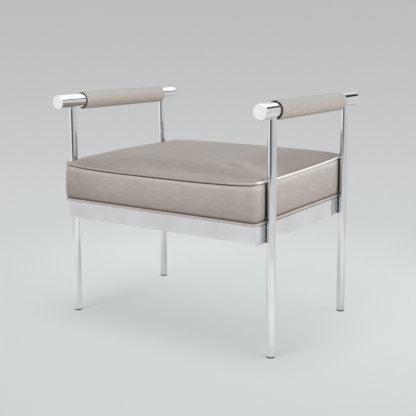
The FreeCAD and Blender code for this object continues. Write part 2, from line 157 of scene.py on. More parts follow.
def newGroup(name, treeKind, inputs, outputs):
    # an input is a number, its default, or the word for its kind; an output is that word
    tree = bpy.data.node_groups.new(name, treeKind)
    for label, value in inputs.items():
        kind = value if isinstance(value, str) else type(value).__name__.capitalize()
        socket = tree.interface.new_socket(label, in_out="INPUT", socket_type="NodeSocket" + kind)
        if kind != value:
            socket.default_value = value
    for label, kind in outputs.items():
        tree.interface.new_socket(label, in_out="OUTPUT", socket_type="NodeSocket" + kind)
    given = addNode(tree, "NodeGroupInput")
    return tree, {label: Value(given, label) for label in inputs}


# shared surface effects

smudge = {"detail": 4.0, "rough": 0.5, "cloud": (0.35, 0.7)}


def makeSmudge():
    # cloudy handling marks, and a roughness between Low and High
    inputs = {"Place": "Vector", "Scale": 9.0, "Low": 0.03, "High": 0.09}
    outputs = {"Roughness": "Float", "Cloud": "Float"}
    tree, given = newGroup("handlingSmudge", "ShaderNodeTree", inputs, outputs)
    marks = grainNoise(given["Place"], given["Scale"], smudge["detail"], smudge["rough"])
    cloud = marks.spread(*smudge["cloud"])
    addNode(tree, "NodeGroupOutput", {"Roughness": cloud.mix(given["Low"], given["High"]), "Cloud": cloud})
    return tree


# scale, detail and roughness of each noise; the streaks are stretched along walls and level parts
hideGrain = {"streak": (1.0, 5.0, 0.66), "wall": (42.0, 42.0, 105.0), "level": (34.0, 150.0, 40.0),
             "patch": (11.0, 3.0, 0.5), "pores": (420.0, 2.0, 0.6), "cellShare": 0.55, "poreShare": 0.45}


def makeHide():
    # brushed mottle and fine grain of the upholstery
    inputs = {"Place": "Vector", "Flatness": 0.0, "Grain": 900.0}
    outputs = {"Mottle": "Float", "Patch": "Float", "Height": "Float"}
    tree, given = newGroup("softHide", "ShaderNodeTree", inputs, outputs)
    place = given["Place"]
    wall, level = (grainNoise(place, *hideGrain["streak"], hideGrain[way]) for way in ("wall", "level"))
    pores = grainNoise(place, *hideGrain["pores"])
    cells = cellNoise(place, given["Grain"], "SMOOTH_F1")
    addNode(tree, "NodeGroupOutput", {
        "Mottle": given["Flatness"].mix(wall, level), "Patch": grainNoise(place, *hideGrain["patch"]),
        "Height": cells * hideGrain["cellShare"] + pores * hideGrain["poreShare"]})
    return tree


smudgeGroup = makeSmudge()
hideGroup = makeHide()


# materials

def newMaterial(name, display):
    material = bpy.data.materials.new(name)
    material.use_nodes = True
    material.diffuse_color = (*display, 1.0)
    tree = material.node_tree
    shader = next(node for node in tree.nodes if node.type == "BSDF_PRINCIPLED")
    return material, shader, Value(addNode(tree, "ShaderNodeTexCoord"), "Object")


chromeFinish = {"display": (0.70, 0.705, 0.71), "clean": (0.70, 0.705, 0.71), "worn": (0.64, 0.645, 0.655),
                "scale": 11.0, "low": 0.018, "high": 0.05, "metal": 1.0}
zincFinish = {"display": (0.60, 0.61, 0.62), "clean": (0.60, 0.61, 0.62), "worn": (0.42, 0.42, 0.41),
              "scale": 90.0, "low": 0.28, "high": 0.46, "metal": 1.0}
plasticFinish = {"display": (0.05, 0.05, 0.055), "clean": (0.045, 0.045, 0.05), "worn": (0.075, 0.074, 0.076),
                 "scale": 160.0, "low": 0.38, "high": 0.55, "metal": 0.0}


def makeSmudged(name, finish):
    # a hard surface with handling marks
    material, shader, place = newMaterial(name, finish["display"])
    inputs = {"Place": place, "Scale": finish["scale"], "Low": finish["low"], "High": finish["high"]}
    marks = addNode(place.tree, "ShaderNodeGroup", inputs, node_tree=smudgeGroup)
    colour = blend(Value(marks, "Cloud"), finish["clean"], finish["worn"])
    feed(shader, {"Base Color": colour, "Roughness": Value(marks, "Roughness"), "Metallic": finish["metal"]})
    return material


foamFinish = {"display": (0.03, 0.03, 0.03), "deep": (0.012, 0.012, 0.012), "pale": (0.05, 0.05, 0.05),
              "rough": 0.9, "bump": (0.5, 0.0004), "cells": 1400.0}
plyFinish = {"display": (0.66, 0.5, 0.32), "deep": (0.52, 0.36, 0.2), "pale": (0.72, 0.56, 0.37),
             "rough": 0.7, "bump": (0.2, 0.0003), "rings": (1.0, 4.0, 0.6, (4.0, 60.0, 200.0))}
clothFinish = {"display": (0.04, 0.04, 0.045), "deep": (0.02, 0.02, 0.023), "pale": (0.075, 0.075, 0.08),
               "rough": 0.88, "bump": (0.4, 0.0004), "fibres": (1.0, 5.0, 0.7, (260.0, 900.0, 400.0)),
               "dots": 420.0, "dotShare": 0.6}


def foamCells(place):
    cells = cellNoise(place, foamFinish["cells"])
    return cells, cells


def plyRings(place):
    rings = grainNoise(place, *plyFinish["rings"])
    return rings, rings


def clothFibres(place):
    fibres = grainNoise(place, *clothFinish["fibres"])
    return fibres, fibres + cellNoise(place, clothFinish["dots"]) * clothFinish["dotShare"]


def makeMatte(name, finish, pattern):
    # a dull surface; its pattern gives a tone and a height
    material, shader, place = newMaterial(name, finish["display"])
    tone, height = pattern(place)
    feed(shader, {"Base Color": blend(tone, finish["deep"], finish["pale"]), "Roughness": finish["rough"],
                  "Normal": bumpFrom(height, *finish["bump"])})
    return material


hideFinish = {"pale": (0.430, 0.379, 0.344), "deep": (0.378, 0.332, 0.299), "dusk": (0.348, 0.304, 0.273),
              "level": (0.55, 0.85), "mottle": (0.30, 0.70), "patch": (0.45, 0.75), "duskShare": 0.20,
              "rough": (0.53, 0.46), "specular": 0.15, "glossSpecular": 3.4, "sheen": 0.025,
              "sheenRough": 0.45, "bump": (0.22, 0.00010)}


def makeUpholstery(name, grain, lift=1.0, gloss=0.0, paint=None):
    # the hide, lighter by lift, smoother by gloss, with the painted light and shade that paint gives it
    material, shader, place = newMaterial(name, hideFinish["pale"])
    facing = Value(addNode(place.tree, "ShaderNodeNewGeometry"), "Normal").axes()
    inputs = {"Place": place, "Flatness": abs(facing[2]).spread(*hideFinish["level"]), "Grain": grain}
    hide = addNode(place.tree, "ShaderNodeGroup", inputs, node_tree=hideGroup)
    mottle = Value(hide, "Mottle")
    pale, deep, dusk = ([channel * lift for channel in hideFinish[tone]] for tone in ("pale", "deep", "dusk"))
    colour = blend(mottle.spread(*hideFinish["mottle"]), deep, pale)
    patch = Value(hide, "Patch").spread(*hideFinish["patch"])
    colour = blend(patch * hideFinish["duskShare"], colour, dusk)
    if paint:
        colour = paint(place, facing, colour)
    rough = [value - gloss for value in hideFinish["rough"]]
    feed(shader, {"Base Color": colour, "Roughness": mottle.spread(*hideFinish["mottle"], *rough),
                  "Specular IOR Level": hideFinish["specular"] + hideFinish["glossSpecular"] * gloss,
                  "Sheen Weight": hideFinish["sheen"], "Sheen Roughness": hideFinish["sheenRough"],
                  "Normal": bumpFrom(Value(hide, "Height"), *hideFinish["bump"])})
    return material


# painted light and shade on the cushion's hide: lighter and darker tones that stand in for how light falls on
# it; a pair is where a tone starts and ends, in metres or by the facing
lightAndShade = {"wallZ": (0.325, 0.425), "wall": (0.90, 1.27), "leftX": (-0.29, -0.08), "left": 0.83, "tilt": 0.0232,
       "lipZ": (0.4105, 0.4180), "lip": 1.14, "sideFacing": (0.3, 0.9), "side": 0.92,
       "sideTint": (1.0, 1.03, 1.045), "rightX": (0.05, 0.28), "rightY": (-0.19, -0.02), "right": 0.71,
       "frontX": (-0.22, 0.02), "front": (0.88, 1.12), "slopeFacing": (-0.30, -0.10), "slope": 0.92,
       "levelFacing": (0.70, 0.985), "panelFacing": (0.25, 0.50), "panelZ": (0.4238, 0.4268),
       "foldInset": (-0.0030, -0.0008), "foldX": (0.286, 0.294), "fold": 0.30, "seamZ": (0.3345, 0.3420),
       "seam": 0.40, "legReach": (0.0125, 0.0175), "leg": 0.08, "powers": (1.0, 1.09, 1.16)}


def paintNap(place, facing, colour):
    x, y, z = place.axes()
    # height above the seam's own tilt
    level = z - y * lightAndShade["tilt"]
    # painted light and shade on the boxing: lighter towards the top seam, darker on the left and on the
    # sides, with a painted highlight on the lip under the cord
    onSide = abs(facing[0]).spread(*lightAndShade["sideFacing"])
    wall = z.spread(*lightAndShade["wallZ"], *lightAndShade["wall"], "LINEAR") * x.spread(*lightAndShade["leftX"], lightAndShade["left"], 1.0)
    wall = wall * level.spread(*lightAndShade["lipZ"], 1.0, lightAndShade["lip"]) * onSide.mix(1.0, lightAndShade["side"])
    # painted light and shade on the top panel: darker at the rear right, and on its front slope darker to the
    # left and lighter to the right
    rearRight = x.spread(*lightAndShade["rightX"]) * y.spread(*lightAndShade["rightY"])
    slope = facing[1].spread(*lightAndShade["slopeFacing"], x.spread(*lightAndShade["frontX"], *lightAndShade["front"]), lightAndShade["slope"])
    panel = rearRight.spread(0.0, 1.0, 1.0, lightAndShade["right"]) * facing[2].spread(*lightAndShade["levelFacing"], slope, 1.0)
    onPanel = facing[2].spread(*lightAndShade["panelFacing"]) * level.spread(*lightAndShade["panelZ"])
    # painted shade in the fold under the cord, except along the right side
    inset = (abs(x) - seatX).calc("MAXIMUM", abs(y) - seatY)
    fold = inset.spread(*lightAndShade["foldInset"], 1.0, 0.0) * level.spread(*lightAndShade["panelZ"], 1.0, 0.0)
    fold = fold * x.spread(*lightAndShade["foldX"], 1.0, 0.0)
    # painted shade at the base seam's fold and in the strips beside the legs, where shadow falls
    legWayX, legWayY = abs(x) - legX, abs(y) - legY
    fromLeg = (legWayX * legWayX + legWayY * legWayY).calc("SQRT")
    share = onPanel.mix(wall, panel) * fold.mix(1.0, lightAndShade["fold"])
    share = share * z.spread(*lightAndShade["seamZ"], lightAndShade["seam"], 1.0)
    share = share * fromLeg.spread(*lightAndShade["legReach"], lightAndShade["leg"], 1.0)
    # painted light is greyer and painted shade warmer, and the sides take a cooler painted tint
    tint = joinColour(*(share.calc("POWER", power) for power in lightAndShade["powers"]))
    return blend(onSide, blend(1.0, colour, tint, "MULTIPLY"), lightAndShade["sideTint"], "MULTIPLY")


# the facings and the neutral grey of the painted light on the sleeves' tops
armTopLight = {"facing": (-0.10, 0.80), "colour": (0.430, 0.427, 0.400)}


def paintArmRub(place, facing, colour):
    # painted light: faces turned upwards are blended towards a neutral grey, standing in for how light falls
    # on the sleeve's top
    return blend(facing[2].spread(*armTopLight["facing"]), colour, armTopLight["colour"])


# where the painted highlight on the cord lies, and its pale colour
cordHighlight = {"frontX": (0.17, 0.297), "front": 0.30, "sideX": (0.2925, 0.2960), "sideY": (-0.249, -0.238),
           "colour": (0.84, 0.82, 0.80)}


def paintCordRub(place, facing, colour):
    # painted highlight: the cord is paler towards the right at the front and all along the right side, where
    # light catches it
    x, y, z = place.axes()
    side = x.spread(*cordHighlight["sideX"]) * y.spread(*cordHighlight["sideY"])
    front = x.spread(*cordHighlight["frontX"], 0.0, cordHighlight["front"])
    return blend(front.calc("MAXIMUM", side), colour, cordHighlight["colour"])


chrome = makeSmudged("polishedChrome", chromeFinish)
zinc = makeSmudged("zincPlate", zincFinish)
seatHide = makeUpholstery("taupeHide", grain=950.0, paint=paintNap)
sleeveHide = makeUpholstery("sleeveHide", grain=950.0, lift=1.10, paint=paintArmRub)
cordHide = makeUpholstery("pipingHide", grain=1100.0, lift=0.98, gloss=0.17, paint=paintCordRub)
# painted light: a paler copy of the hide for the base cord, standing in for light on it under the boxing's
# belly
litBaseCordHide = makeUpholstery("basePipingLitHide", grain=1100.0, lift=1.22, gloss=0.12)
threadMaterial = makeUpholstery("taupeThread", grain=2600.0, lift=0.8)
glidePlastic = makeSmudged("glidePlastic", plasticFinish)
blackFoam = makeMatte("blackFoam", foamFinish, foamCells)
plywood = makeMatte("seatPlywood", plyFinish, plyRings)
dustCloth = makeMatte("dustCloth", clothFinish, clothFibres)
print("materials made:", len(bpy.data.materials))


# finishes of the CAD nodes that stay

finishOf = {"polished_steel": chrome, "zinc_steel": zinc, "glide_plastic": glidePlastic, "plywood": plywood,
            "upholstery": seatHide, "sleeve_foam": blackFoam, "seat_foam": seatHide, "dust_cloth": dustCloth}
slotOf = {part["node"]: part["material_slot"] for part in frame["record"]["subparts"]}
for node, item in frame["nodes"].items():
    for holder in item.material_slots:
        holder.material = finishOf[slotOf[node]]
    if not item.material_slots:
        item.data.materials.append(finishOf[slotOf[node]])
print("finishes put on the frame")


# pieces and their meshes

def newObject(name, data):
    item = bpy.data.objects.new(name, data)
    scene.collection.objects.link(item)
    return item


def newPiece(name, mesh, material, body, slot, replaced=()):
    piece = newObject(name, mesh)
    mesh.materials.clear()
    mesh.materials.append(material)
    for face in mesh.polygons:
        face.use_smooth = True
        face.material_index = 0
    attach(piece, body)
    if replaced:
        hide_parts(*replaced)
    return piece


def meshFrom(name, points, faces, edges=()):
    mesh = bpy.data.meshes.new(name)
    mesh.from_pydata([tuple(point) for point in points], edges, faces)
    mesh.validate()
    mesh.update()
    return mesh


def outward(mesh):
    work = bmesh.new()
    work.from_mesh(mesh)
    bmesh.ops.remove_doubles(work, verts=work.verts, dist=1e-6)
    bmesh.ops.recalc_face_normals(work, faces=work.faces)
    work.to_mesh(mesh)
    work.free()
    mesh.update()
    return mesh


def takeMesh(holder):
    # the holder's mesh with its modifiers applied; the holder goes
    graph = bpy.context.evaluated_depsgraph_get()
    done = bpy.data.meshes.new_from_object(holder.evaluated_get(graph))
    bpy.data.objects.remove(holder)
    return done


def applied(name, mesh, kind, **settings):
    # the mesh with one modifier applied
    holder = newObject(name + "Holder", mesh)
    modifier = holder.modifiers.new(kind.lower(), kind)
    for key, value in settings.items():
        setattr(modifier, key, value)
    return takeMesh(holder)


def ringFaces(rings, around, closed=False):
    # quads from each ring of points to the next, and from the last to the first where closed
    faces = []
    for ring in range(rings if closed else rings - 1):
        low, high = ring * around, (ring + 1) % rings * around
        for step in range(around):
            after = (step + 1) % around
            faces.append((low + step, low + after, high + after, high + step))
    return faces


def gridFaces(grid):
    return [(low[step], low[step + 1], high[step + 1], high[step])
            for low, high in zip(grid, grid[1:]) for step in range(len(low) - 1)]


def loft(name, rings, around, spot, closed=False):
    # spot gives the point of a ring at a turn; rings that don't close on themselves get flat ends
    points = [spot(ring, fullTurn * step / around) for ring in rings for step in range(around)]
    faces = ringFaces(len(rings), around, closed)
    if not closed:
        faces.append(tuple(reversed(range(around))))
        faces.append(tuple(range(len(points) - around, len(points))))
    return outward(meshFrom(name, points, faces))


# seat cushion: a box cushion with a crowned top, a full low front and raised corners

cushion = {
    "cornerLow": 0.0068, "cornerHigh": 0.0115, "cellsX": 96, "cellsY": 80, "bottom": 0.3272,
    "baseSeam": 0.3352, "topSeam": 0.4258, "tilt": 0.0058, "ear": 0.0058, "earPower": 3.2, "earLeft": 1.3,
    "sideRise": 0.0028, "risePower": 10, "plateau": 0.4525, "edgeReach": 0.021, "dome": 0.0020,
    "fall": 0.0035, "fallPower": 1.5, "tuckFront": 0.0017, "tuckSide": 0.0010, "borderEase": 0.0012,
    "borderInset": 0.0002, "borderDrop": 0.0022, "groove": 0.0050, "grooveDrop": 0.0050, "dropRight": 0.0030,
    "heldRings": 5, "panelEdge": [(0.0046, 0.0002), (0.0068, 0.0021)], "panelInset": 0.0102,
    "panelFrom": 0.0005, "sideBand": 0.006, "legReach": 0.03, "frames": 20,
    "caps": {"top": 0.0018, "front": 0.0012, "side": 0.0005}, "pucker": 0.00045, "puckerReach": 0.016,
    "puckerScale": 70, "wave": 0.0007, "waveScale": 9, "waveRise": 16, "sideShare": 0.35,
    "topSeeds": (3.1, 11), "wallSeeds": (7.7, 5),
}

# share of the boxing's height, then how far it stands out in front and at the sides
boxing = [(0.04, 0.0004, 0.0004), (0.08, 0.0020, 0.0010), (0.14, 0.0031, 0.0014), (0.22, 0.0037, 0.0016),
          (0.32, 0.0038, 0.0017), (0.42, 0.0036, 0.0017), (0.52, 0.0033, 0.0016), (0.62, 0.0030, 0.0015),
          (0.72, 0.0026, 0.0014), (0.81, 0.0021, 0.0012), (0.88, 0.0016, 0.0009), (0.93, 0.0011, 0.0006),
          (0.96, 0.0005, 0.0002), (0.978, -0.0003, -0.0004), (0.988, -0.0015, -0.0015),
          (0.994, -0.0032, -0.0031)]

fillCloth = {"quality": 6, "mass": 0.35, "tension_stiffness": 35, "compression_stiffness": 35,
             "shear_stiffness": 12, "bending_stiffness": 2.5, "use_pressure": True,
             "uniform_pressure_force": 4.0, "vertex_group_mass": "seams"}


def plan(corner):
    # points and normals round the rounded rectangle, each run from corner middle to corner middle
    a, b = seatX - corner, seatY - corner
    arc = corner * math.pi / 4
    ends = [Vector((-a, -b)), Vector((a, -b)), Vector((a, b)), Vector((-a, b))]
    points = []
    for start, end, count in zip(ends, ends[1:] + ends[:1], [cushion["cellsX"], cushion["cellsY"]] * 2):
        straight = (end - start).length
        along = (end - start).normalized()
        face = Vector((along.y, -along.x))
        for step in range(count):
            way = (straight + 2 * arc) * step / count - arc
            slide = min(max(way, 0.0), straight)
            turn = (way - slide) / corner
            normal = face * math.cos(turn) + along * math.sin(turn)
            points.append((start + along * slide + normal * corner, normal))
    return points


def seamHeight(x, y):
    shareX, shareY = min(1.0, abs(x) / seatX), min(1.0, abs(y) / seatY)
    ear = cushion["ear"] * (shareX * shareY) ** cushion["earPower"] * (cushion["earLeft"] if x < 0 else 1.0)
    rise = cushion["sideRise"] * shareX ** cushion["risePower"]
    return cushion["topSeam"] + cushion["tilt"] * y / seatY + ear + rise


def crownHeight(x, y):
    # the top panel climbs steeply from its seam to a nearly flat middle
    fullX = 1 - math.exp(-max(0.0, seatX - abs(x)) / cushion["edgeReach"])
    fullY = 1 - math.exp(-max(0.0, seatY - abs(y)) / cushion["edgeReach"])
    low = seamHeight(x, y)
    dome = cushion["dome"] * (1 - (x / seatX) ** 2) * (1 - (y / seatY) ** 2)
    fall = cushion["fall"] * max(0.0, x / seatX) ** cushion["fallPower"]
    return low + (cushion["plateau"] + dome - fall - low) * fullX * fullY


def sideways(normal, front, side):
    return front * normal.y ** 2 + side * normal.x ** 2


def lipHeight(at, normal):
    # top edge of the boxing, tight under the cord on the right
    drop = cushion["dropRight"] if normal.x > 0 else cushion["grooveDrop"]
    return seamHeight(at.x, at.y) - sideways(normal, cushion["grooveDrop"], drop)


def fillRing(points, first, height):
    # faces of a grid between the four runs of a ring; its inner points are added at the height given
    nx, ny = cushion["cellsX"], cushion["cellsY"]
    grid = [[None] * (nx + 1) for row in range(ny + 1)]
    for step in range(nx):
        grid[0][step] = first + step
        grid[ny][nx - step] = first + nx + ny + step
    for step in range(ny):
        grid[step][nx] = first + nx + step
        grid[ny - step][0] = first + 2 * nx + ny + step
    for row in range(1, ny):
        for column in range(1, nx):
            u, v = column / nx, row / ny
            spot = points[grid[0][column]] * (1 - v) + points[grid[ny][column]] * v
            spot += points[grid[row][0]] * (1 - u) + points[grid[row][nx]] * u
            spot -= points[grid[0][0]] * (1 - u) * (1 - v) + points[grid[0][nx]] * u * (1 - v)
            spot -= points[grid[ny][0]] * (1 - u) * v + points[grid[ny][nx]] * u * v
            spot.z = height(spot.x, spot.y)
            grid[row][column] = len(points)
            points.append(spot)
    return gridFaces(grid)


def cushionMesh():
    # rings from the under border up the boxing, through the groove to the panel's edge, then both panels
    points = []
    rings = []
    bottom, low = cushion["bottom"], cushion["baseSeam"]
    cornerLow, cornerHigh = cushion["cornerLow"], cushion["cornerHigh"]
    border = [(cushion["borderEase"], bottom), (cushion["borderInset"], bottom + cushion["borderEase"]),
              (cushion["borderInset"], low - cushion["borderDrop"]), (0.0, low)]

    def addRing(corner, outset, height):
        rings.append(len(points))
        for at, normal in plan(corner):
            spot = at + normal * outset(normal)
            points.append(Vector((*spot, height(at, normal, spot))))

    for more, z in border:
        addRing(cornerLow, lambda n: -sideways(n, cushion["tuckFront"], cushion["tuckSide"]) - more,
                lambda at, n, spot: z)
    for share, front, side in boxing:
        addRing(cornerLow + (cornerHigh - cornerLow) * share ** 2, lambda n: sideways(n, front, side),
                lambda at, n, spot: low + (lipHeight(at, n) - low) * share)
    seam = len(rings)
    addRing(cornerHigh, lambda n: -cushion["groove"], lambda at, n, spot: lipHeight(at, n))
    for inset, lift in cushion["panelEdge"]:
        addRing(cornerHigh, lambda n: -inset, lambda at, n, spot: seamHeight(at.x, at.y) + lift)
    addRing(cornerHigh, lambda n: -cushion["panelInset"], lambda at, n, spot: crownHeight(spot.x, spot.y))
    faces = ringFaces(len(rings), rings[1])
    faces += fillRing(points, rings[-1], crownHeight)
    faces += [face[::-1] for face in fillRing(points, rings[0], lambda x, y: bottom)]
    pins = {*range(rings[len(border)]), *range(rings[seam - cushion["heldRings"]], rings[seam + 2])}
    return points, faces, pins


def inflate(points, faces, pins):
    # air pressure fills the cover while its seams hold
    holder = newObject("seatCushionStart", meshFrom("seatCushionStart", points, faces))
    holder.vertex_groups.new(name=fillCloth["vertex_group_mass"]).add(sorted(pins), 1.0, "REPLACE")
    cloth = holder.modifiers.new("cloth", "CLOTH")
    for key, value in fillCloth.items():
        setattr(cloth.settings, key, value)
    cloth.settings.effector_weights.gravity = 0.0
    cloth.collision_settings.use_collision = False
    cloth.point_cache.frame_start = 1
    cloth.point_cache.frame_end = cushion["frames"]
    for step in range(1, cushion["frames"] + 1):
        scene.frame_set(step)
    filled = takeMesh(holder)
    moved = [vertex.co.copy() for vertex in filled.vertices]
    scene.frame_set(1)
    bpy.data.meshes.remove(filled)
    return moved


def legRoom(point):
    # 1 away from the legs, 0 beside them
    away = min(abs(abs(point.y) - legY) / cushion["legReach"], 1.0)
    return away * away * (3 - 2 * away)


def partOf(point):
    if point.z > seamHeight(point.x, point.y) + cushion["panelFrom"]:
        return "top"
    return "side" if abs(point.x) > seatX - cushion["sideBand"] else "front"


def settle(point, moved):
    # the point with the cloth's move, which slows towards its cap
    part = partOf(point)
    cap = cushion["caps"][part] * (legRoom(point) if part == "side" else 1.0)
    step = moved - point
    if min(cap, step.length) < 1e-9:
        return point.copy()
    return point + step * (cap * math.tanh(step.length / cap) / step.length)


def pucker(point):
    # small gathers beside the seams and long soft waves in the panels
    if point.z < cushion["baseSeam"]:
        return point
    x, y, z = point
    part = partOf(point)
    if part == "top":
        gatherSeed, waveSeed = cushion["topSeeds"]
        near = min(seatX - abs(x), seatY - abs(y))
    else:
        gatherSeed, waveSeed = cushion["wallSeeds"]
        near = min(seamHeight(x, y) - z, z - cushion["baseSeam"])
    fade = math.exp(-max(0.0, near) / cushion["puckerReach"])
    fine, wide = cushion["puckerScale"], cushion["waveScale"]
    gather = noise.noise(Vector((x * fine, y * fine, gatherSeed)))
    wave = noise.noise(Vector((x * wide, y * wide, z * cushion["waveRise"] + waveSeed)))
    move = gather * cushion["pucker"] * fade + wave * cushion["wave"] * (1 - fade)
    if part == "top":
        return point + Vector((0, 0, move))
    if part == "side":
        return point + Vector((math.copysign(move * cushion["sideShare"] * legRoom(point), x), 0, 0))
    return point + Vector((0, math.copysign(move, y), 0))


def makeCushion():
    points, faces, pins = cushionMesh()
    moved = inflate(points, faces, pins)
    shaped = [point if index in pins else pucker(settle(point, moved[index]))
              for index, point in enumerate(points)]
    mesh = outward(meshFrom("seatCushion", shaped, faces))
    mesh = applied("seatCushion", mesh, "SUBSURF", levels=1, render_levels=1)
    cushionPiece = newPiece("seatCushion", mesh, seatHide, "frame", "upholstery",
                            ("seat_top_panel", "seat_boxing", "seat_under_border", "seat_foam"))


makeCushion()
print("seat cushion made")


# geometry node trees

patterns = []


def growTree(name, sizes=None):
    inputs = {"Geometry": "Geometry", **(sizes or {})}
    return newGroup(name, "GeometryNodeTree", inputs, {"Geometry": "Geometry"})


def endTree(tree, shape, material):
    real = addNode(tree, "GeometryNodeRealizeInstances", {0: shape})
    paint = addNode(tree, "GeometryNodeSetMaterial", {0: real, "Material": material})
    addNode(tree, "NodeGroupOutput", {0: paint})
    return tree


def cordTree(name, sizes, material):
    # a round cord along the edges it is given
    tree, given = growTree(name, sizes)
    curve = addNode(tree, "GeometryNodeMeshToCurve", {"Mesh": given["Geometry"]})
    even = addNode(tree, "GeometryNodeResampleCurve", mode="LENGTH")
    feed(even, {"Curve": curve, "Length": given["Step"]})
    ring = addNode(tree, "GeometryNodeCurvePrimitiveCircle")
    feed(ring, {"Radius": given["Radius"], "Resolution": given["Sides"]})
    cord = addNode(tree, "GeometryNodeCurveToMesh", {"Curve": even, "Profile Curve": ring})
    return endTree(tree, cord, material)


def seatTree(name, mesh, material):
    # one part on every point, its Z along the point's facing and its X along the point's lie
    patterns.append(newObject(name + "Pattern", mesh))
    tree, given = growTree(name)
    source = addNode(tree, "GeometryNodeObjectInfo", {"Object": patterns[-1]})
    axes = [addNode(tree, "GeometryNodeInputNamedAttribute", {"Name": label}, data_type="FLOAT_VECTOR")
            for label in ("facing", "lie")]
    turn = addNode(tree, "FunctionNodeAxesToRotation", dict(enumerate(axes)), primary_axis="Z",
                   secondary_axis="X")
    inputs = {"Points": given["Geometry"], "Instance": Value(source, "Geometry"), "Rotation": turn}
    return endTree(tree, addNode(tree, "GeometryNodeInstanceOnPoints", inputs), material)


def seatParts(name, spots, tree, *finish):
    # spots are (place, facing, lie); the finish is what newPiece takes after its mesh
    mesh = meshFrom(name, [spot[0] for spot in spots], [])
    for label, which in (("facing", 1), ("lie", 2)):
        layer = mesh.attributes.new(label, "FLOAT_VECTOR", "POINT")
        for index, spot in enumerate(spots):
            layer.data[index].vector = spot[which]
    newPiece(name, applied(name, mesh, "NODES", node_group=tree), *finish)


def runCord(name, line, tree, *finish):
    # a cord round a closed line
    edges = [(step, (step + 1) % len(line)) for step in range(len(line))]
    mesh = applied(name, meshFrom(name, line, [], edges), "NODES", node_group=tree)
    return newPiece(name, outward(mesh), *finish)


# piping cords in both seams

piping = {"Step": 0.0035, "Sides": 14}
cords = [
    {"name": "topPiping", "node": "top_welt", "hide": cordHide, "radius": 0.0027, "front": -0.0007,
     "side": -0.0008, "corner": cushion["cornerHigh"], "height": seamHeight},
    {"name": "basePiping", "node": "base_welt", "hide": litBaseCordHide, "radius": 0.0036, "front": -0.0030,
     "side": -0.0013, "corner": cushion["cornerLow"], "height": lambda x, y: 0.3297},
]


def makePiping():
    for cord in cords:
        line = []
        for at, normal in plan(cord["corner"]):
            spot = at + normal * sideways(normal, cord["front"], cord["side"])
            line.append(Vector((*spot, cord["height"](at.x, at.y))))
        tree = cordTree(cord["name"] + "Cord", {"Radius": cord["radius"], **piping}, cord["hide"])
        piece = runCord(cord["name"], line, tree, cord["hide"], "frame", "upholstery", (cord["node"],))


makePiping()
print("piping made")


# padded sleeves on the arm bars

# a scale is along the bar, then across it
sleeve = {"radius": 0.0235, "lip": 0.0209, "bend": 0.0033, "bendSteps": 8, "lipDepth": 0.006,
          "inside": 0.012, "wall": 0.0014, "rings": 150, "around": 72, "padFrom": 0.0003, "endStart": 0.004,
          "endReach": 0.03, "swell": 0.0005, "swellScale": (16, 0.8), "crease": 0.00035,
          "creaseScale": (55, 2.2), "seeds": {"left": 4.0, "right": 9.0}, "seamTurn": 1.5 * math.pi,
          "seamWidth": 0.035, "seamDepth": 0.0009}


def sleeveProfile(length):
    # (along, radius) from inside the near lip, over the pad and into the far lip
    bend, lip, radius, inside = sleeve["bend"], sleeve["lip"], sleeve["radius"], sleeve["inside"]
    line = [(inside, lip + sleeve["wall"]), (inside, lip), (sleeve["lipDepth"], lip), (bend, lip)]
    for step in range(1, sleeve["bendSteps"] + 1):
        turn = math.pi * step / sleeve["bendSteps"]
        line.append((bend * (1 - math.sin(turn)), (radius + lip) / 2 - (radius - lip) / 2 * math.cos(turn)))
    count = sleeve["rings"]
    body = [(bend + (length - 2 * bend) * step / count, radius) for step in range(1, count)]
    return line + body + [(length - along, size) for along, size in reversed(line)]


def makeSleeve(side, sign):
    low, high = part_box(f"{side}_sleeve_cover")
    length = high.y - low.y
    seed = sleeve["seeds"][side]

    def onBar(along, size, turn):
        across, up = size * math.cos(turn), size * math.sin(turn)
        return Vector((sign * legX + across, low.y + along, barHeight + up))

    def onCover(ring, turn):
        # the pad swells and creases between its lips and pulls in at its seam
        along, size = ring
        if size > sleeve["radius"] - sleeve["padFrom"]:
            dx, dz = math.cos(turn), math.sin(turn)
            free = (min(along, length - along) - sleeve["endStart"]) / sleeve["endReach"]
            run, wide = sleeve["swellScale"]
            swell = noise.noise(Vector((along * run, dx * wide, dz * wide + seed))) * sleeve["swell"]
            run, wide = sleeve["creaseScale"]
            crease = noise.noise(Vector((along * run, dx * wide + seed, dz * wide))) * sleeve["crease"]
            seam = math.exp(-((turn - sleeve["seamTurn"]) / sleeve["seamWidth"]) ** 2) * sleeve["seamDepth"]
            size += (swell + crease - seam) * min(1.0, max(0.0, free))
        return onBar(along, size, turn)

    mesh = loft(f"{side}Sleeve", sleeveProfile(length), sleeve["around"], onCover, True)
    piece = newPiece(f"{side}Sleeve", mesh, sleeveHide, f"{side}_sleeve", "upholstery",
                     (f"{side}_sleeve_cover",))
    makeSleevePadding(side, length, onBar)
    makeSleeveStitches(side, length, onBar)


padding = {"back": 0.006, "barGap": 0.0003, "coverGap": 0.0004, "ease": 0.0006, "rings": 12, "around": 48}


def makeSleevePadding(side, length, onBar):
    # a foam tube with eased rims, shown at both ends of the cover
    inner, outer = barRadius + padding["barGap"], sleeve["lip"] + sleeve["wall"] - padding["coverGap"]
    near, far, ease, count = padding["back"], length - padding["back"], padding["ease"], padding["rings"]
    line = [(near + ease, inner), (near, inner + ease), (near, outer - ease), (near + ease, outer)]
    line += [(near + (far - near) * step / count, outer) for step in range(1, count)]
    line += [(far - ease, outer), (far, outer - ease), (far, inner + ease), (far - ease, inner)]
    line += [(far - (far - near) * step / count, inner) for step in range(1, count)]
    mesh = loft(f"{side}SleevePadding", line, padding["around"], lambda ring, turn: onBar(*ring, turn), True)
    piece = newPiece(f"{side}SleevePadding", mesh, blackFoam, f"{side}_sleeve", "sleeve_foam",
                     (f"{side}_sleeve_foam",))


